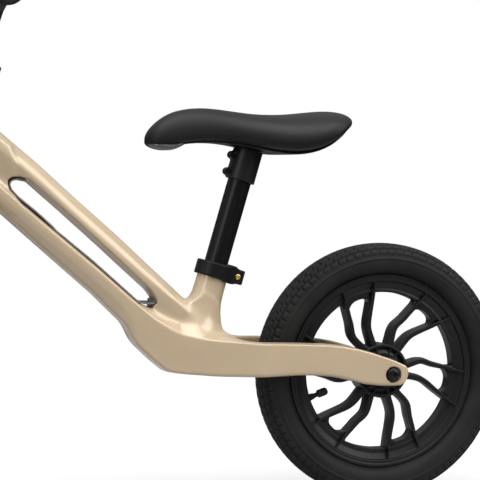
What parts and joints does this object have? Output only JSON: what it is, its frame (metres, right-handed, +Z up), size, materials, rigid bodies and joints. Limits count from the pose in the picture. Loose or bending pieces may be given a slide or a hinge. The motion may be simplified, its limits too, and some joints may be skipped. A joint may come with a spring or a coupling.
{
  "type": "balance bike",
  "caption": "Child's balance bike with a slotted cast frame, spoked moulded wheels with air tyres, a steering fork with a straight handlebar, and a padded saddle on a clamped post.",
  "frame": {"origin": "on the ground, midway between the two wheels' contact points", "axes": "-X forward, +X to the rear wheel, +Y to the rider's right, +Z up"},
  "size_m": [0.862, 0.4, 0.5609],
  "materials": {
    "pearl_paint": "champagne pearl gloss paint over a cast light alloy",
    "wheel_plastic": "satin black moulded nylon",
    "tyre": "black rubber",
    "tube_rubber": "black rubber",
    "grip_rubber": "soft matte black",
    "saddle_cover": "fine-grained black covering over foam",
    "black_plastic": "semi-gloss black",
    "grey_trim": "glossy grey",
    "black_alloy": "semi-gloss black coating",
    "black_steel": "black oxide",
    "steel": "bright steel",
    "brass": "bright brass"
  },
  "bodies": {
    "frame": {"frame": "pearl_paint", "slot_trim": "black_plastic", "seat_clamp": "black_alloy", "seat_clamp_bolt": "black_steel", "seat_clamp_nut": "brass", "headset_outer_races": "steel", "headset_balls": "steel", "rear_axle": "steel", "rear_axle_washers": "black_steel", "rear_axle_bolts": "black_steel", "rear_bearing_inner_races": "steel", "rear_hub_sleeve": "steel", "rear_hub_spacers": "black_alloy"},
    "fork": {"fork": "pearl_paint", "steerer": "steel", "crown_race": "steel", "headset_inner_races": "steel", "compression_ring": "black_alloy", "headset_cover": "black_alloy", "bar_clamp": "black_alloy", "bar_clamp_bolt": "black_steel", "bar_clamp_nut": "brass", "front_axle": "steel", "front_axle_washers": "black_steel", "front_axle_bolts": "black_steel", "front_bearing_inner_races": "steel", "front_hub_sleeve": "steel", "front_hub_spacers": "black_alloy"},
    "handlebar": {"handlebar": "black_alloy", "left_grip": "grip_rubber", "right_grip": "grip_rubber", "bar_end_plugs": "black_plastic"},
    "seat": {"seat_post": "black_alloy", "post_plug": "black_plastic", "saddle_pad": "saddle_cover", "saddle_base": "black_plastic", "saddle_screws": "black_steel", "nose_trim": "grey_trim"},
    "front_wheel": {"front_rim": "wheel_plastic", "front_tyre": "tyre", "front_inner_tube": "tube_rubber", "front_valve": "tube_rubber", "front_valve_cap": "black_plastic", "front_bearing_outer_races": "steel", "front_bearing_balls": "steel", "front_bearing_shields": "steel"},
    "rear_wheel": {"rear_rim": "wheel_plastic", "rear_tyre": "tyre", "rear_inner_tube": "tube_rubber", "rear_valve": "tube_rubber", "rear_valve_cap": "black_plastic", "rear_bearing_outer_races": "steel", "rear_bearing_balls": "steel", "rear_bearing_shields": "steel"}
  },
  "joints": [
    {"name": "steering", "type": "hinge", "parent": "frame", "child": "fork", "pos_m": [-0.27298, 0, 0.13514], "axis": [0.3256, 0, 0.9455], "range_deg": [-65, 65]},
    {"name": "bar_height", "type": "slide", "parent": "fork", "child": "handlebar", "axis": [0.3256, 0, 0.9455], "range_m": [0, 0.04]},
    {"name": "seat_height", "type": "slide", "parent": "frame", "child": "seat", "axis": [0.2874, 0, 0.9578], "range_m": [-0.015, 0.055]},
    {"name": "front_wheel_spin", "type": "hinge", "parent": "fork", "child": "front_wheel", "pos_m": [-0.29, 0, 0.141], "axis": [0, 1, 0], "continuous": true},
    {"name": "rear_wheel_spin", "type": "hinge", "parent": "frame", "child": "rear_wheel", "pos_m": [0.29, 0, 0.141], "axis": [0, 1, 0], "continuous": true}
  ]
}
